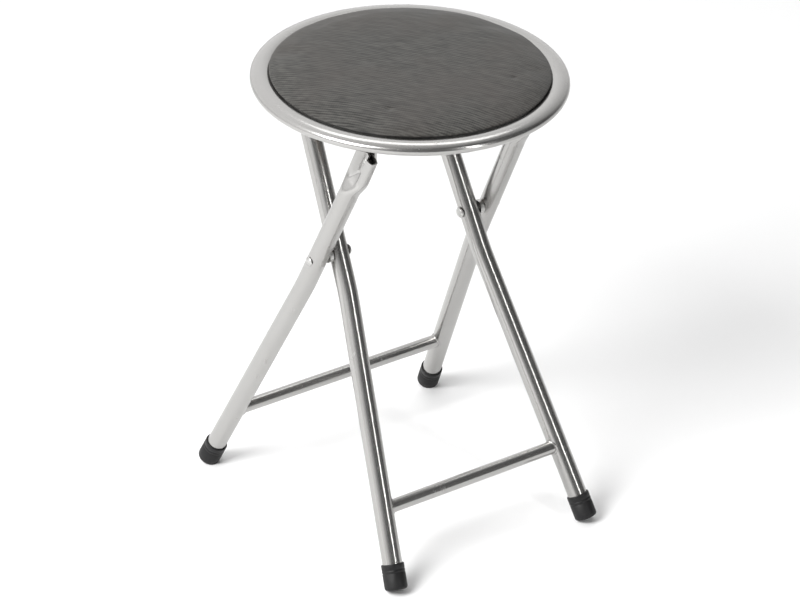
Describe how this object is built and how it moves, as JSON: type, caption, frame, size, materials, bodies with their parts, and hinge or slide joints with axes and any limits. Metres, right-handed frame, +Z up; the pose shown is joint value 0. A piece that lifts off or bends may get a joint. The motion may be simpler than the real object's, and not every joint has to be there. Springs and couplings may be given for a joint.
{
  "type": "folding stool",
  "caption": "Round folding stool with a padded vinyl seat in a steel ring, on two crossed tube frames with rubber feet.",
  "frame": {"origin": "on the floor, under the centre of the bounding box", "axes": "+Z up; the two hinge axes lie along X; +Y points to the back, where the outer frame's feet stand; the seat pivots are towards the front (-Y)"},
  "size_m": [0.2971, 0.3156, 0.46],
  "materials": {
    "frame_silver": "satin silver metallic paint",
    "ferrule_rubber": "moulded matte black rubber",
    "zinc_steel": "bright zinc plate",
    "pad_vinyl": "fine-grained charcoal vinyl with a soft sheen",
    "pad_foam": "open-cell polyurethane foam",
    "plywood": "dark-stained plywood",
    "clip_plastic": "black nylon"
  },
  "bodies": {
    "outer_frame": {"outer_leg_left": "frame_silver", "outer_leg_right": "frame_silver", "outer_crossbar": "frame_silver", "outer_ferrule_left": "ferrule_rubber", "outer_ferrule_right": "ferrule_rubber", "scissor_rivet_left": "zinc_steel", "scissor_rivet_right": "zinc_steel", "scissor_spacer_left": "zinc_steel", "scissor_spacer_right": "zinc_steel", "seat_rivet_left": "zinc_steel", "seat_rivet_right": "zinc_steel", "seat_washer_left": "zinc_steel", "seat_washer_right": "zinc_steel"},
    "inner_frame": {"inner_leg_left": "frame_silver", "inner_leg_right": "frame_silver", "inner_top_bow": "frame_silver", "inner_crossbar": "frame_silver", "inner_ferrule_left": "ferrule_rubber", "inner_ferrule_right": "ferrule_rubber"},
    "seat": {"seat_ring": "frame_silver", "seat_rail_left": "frame_silver", "seat_rail_right": "frame_silver", "seat_board": "plywood", "seat_foam": "pad_foam", "seat_cover": "pad_vinyl", "catch_clip_left": "clip_plastic", "catch_clip_right": "clip_plastic", "rail_screws": "zinc_steel", "clip_screws": "zinc_steel", "cover_staples": "zinc_steel"}
  },
  "joints": [
    {"name": "scissor_fold", "type": "hinge", "parent": "outer_frame", "child": "inner_frame", "pos_m": [0, 0.01003, 0.2812], "axis": [1, 0, 0], "range_deg": [0, 50]},
    {"name": "seat_fold", "type": "hinge", "parent": "outer_frame", "child": "seat", "pos_m": [0, -0.05034, 0.40862], "axis": [1, 0, 0], "range_deg": [0, 110]}
  ],
  "couplings": [
    {"joint": "seat_fold", "follows": "scissor_fold", "ratio": 2.2}
  ]
}
